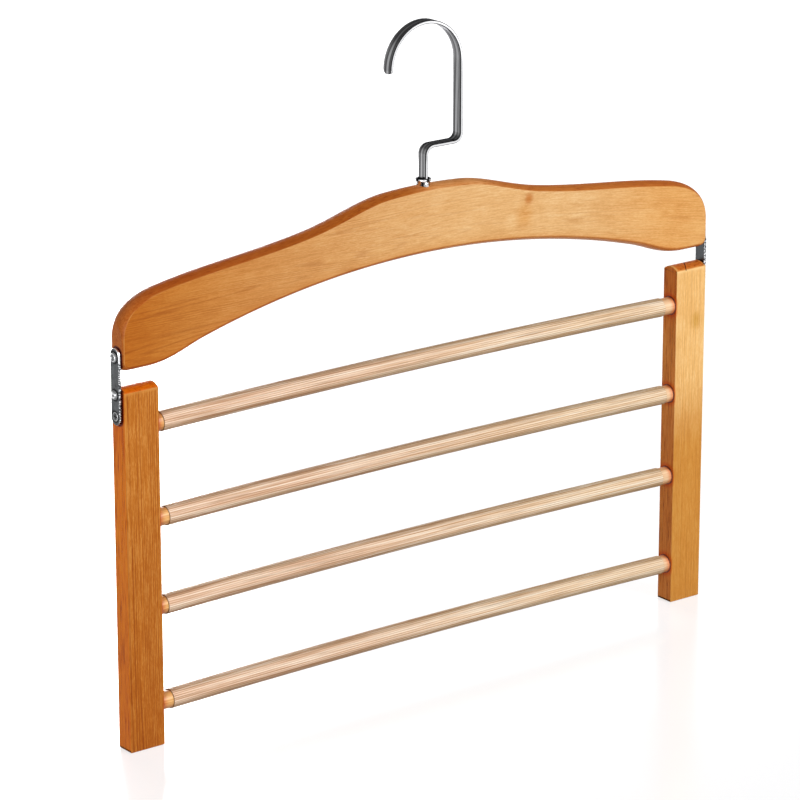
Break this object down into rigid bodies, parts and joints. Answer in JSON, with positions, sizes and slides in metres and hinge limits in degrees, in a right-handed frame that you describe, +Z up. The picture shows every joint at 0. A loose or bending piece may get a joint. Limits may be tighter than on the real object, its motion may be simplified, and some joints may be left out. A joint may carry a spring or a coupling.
{
  "type": "trouser hanger",
  "caption": "Wooden trouser hanger: a shaped yoke with a swivel hook carries a ladder of sleeved bars that swings on link plates at its ends.",
  "frame": {"origin": "point inside the crown of the hook that bears on the rail, above the middle of the yoke", "axes": "+X along the bars to the right, seen from the front with the hook's mouth on the left; -Y the front; +Z up"},
  "size_m": [0.4532, 0.013, 0.4123],
  "materials": {
    "yoke_wood": "clear lacquered hardwood, orange honey",
    "post_wood": "clear lacquered hardwood, orange honey",
    "dowel_wood": "smooth turned dowel",
    "sleeve_vinyl": "thin finely ribbed beige vinyl tube, satin",
    "hook_chrome": "bright chrome plating",
    "ferrule_chrome": "bright chrome plating",
    "insert_brass": "plain turned brass",
    "plate_steel": "nickel plated",
    "screw_steel": "nickel plated"
  },
  "bodies": {
    "hook": {"hook": "hook_chrome"},
    "yoke": {"yoke": "yoke_wood", "hook_ferrule": "ferrule_chrome", "hook_insert": "insert_brass", "pivot_screw_left": "screw_steel", "pivot_screw_right": "screw_steel"},
    "rack": {"post_left": "post_wood", "link_plate_left": "plate_steel", "plate_screw_upper_left": "screw_steel", "plate_screw_lower_left": "screw_steel", "post_right": "post_wood", "link_plate_right": "plate_steel", "plate_screw_upper_right": "screw_steel", "plate_screw_lower_right": "screw_steel", "dowel_1": "dowel_wood", "sleeve_1": "sleeve_vinyl", "dowel_2": "dowel_wood", "sleeve_2": "sleeve_vinyl", "dowel_3": "dowel_wood", "sleeve_3": "sleeve_vinyl", "dowel_4": "dowel_wood", "sleeve_4": "sleeve_vinyl"}
  },
  "joints": [
    {"name": "hook_swivel", "type": "hinge", "parent": "hook", "child": "yoke", "pos_m": [0, 0, -0.099], "axis": [0, 0, 1], "continuous": true},
    {"name": "rack_swing", "type": "hinge", "parent": "yoke", "child": "rack", "pos_m": [0, 0, -0.1659], "axis": [1, 0, 0], "range_deg": [-135, 135]}
  ]
}
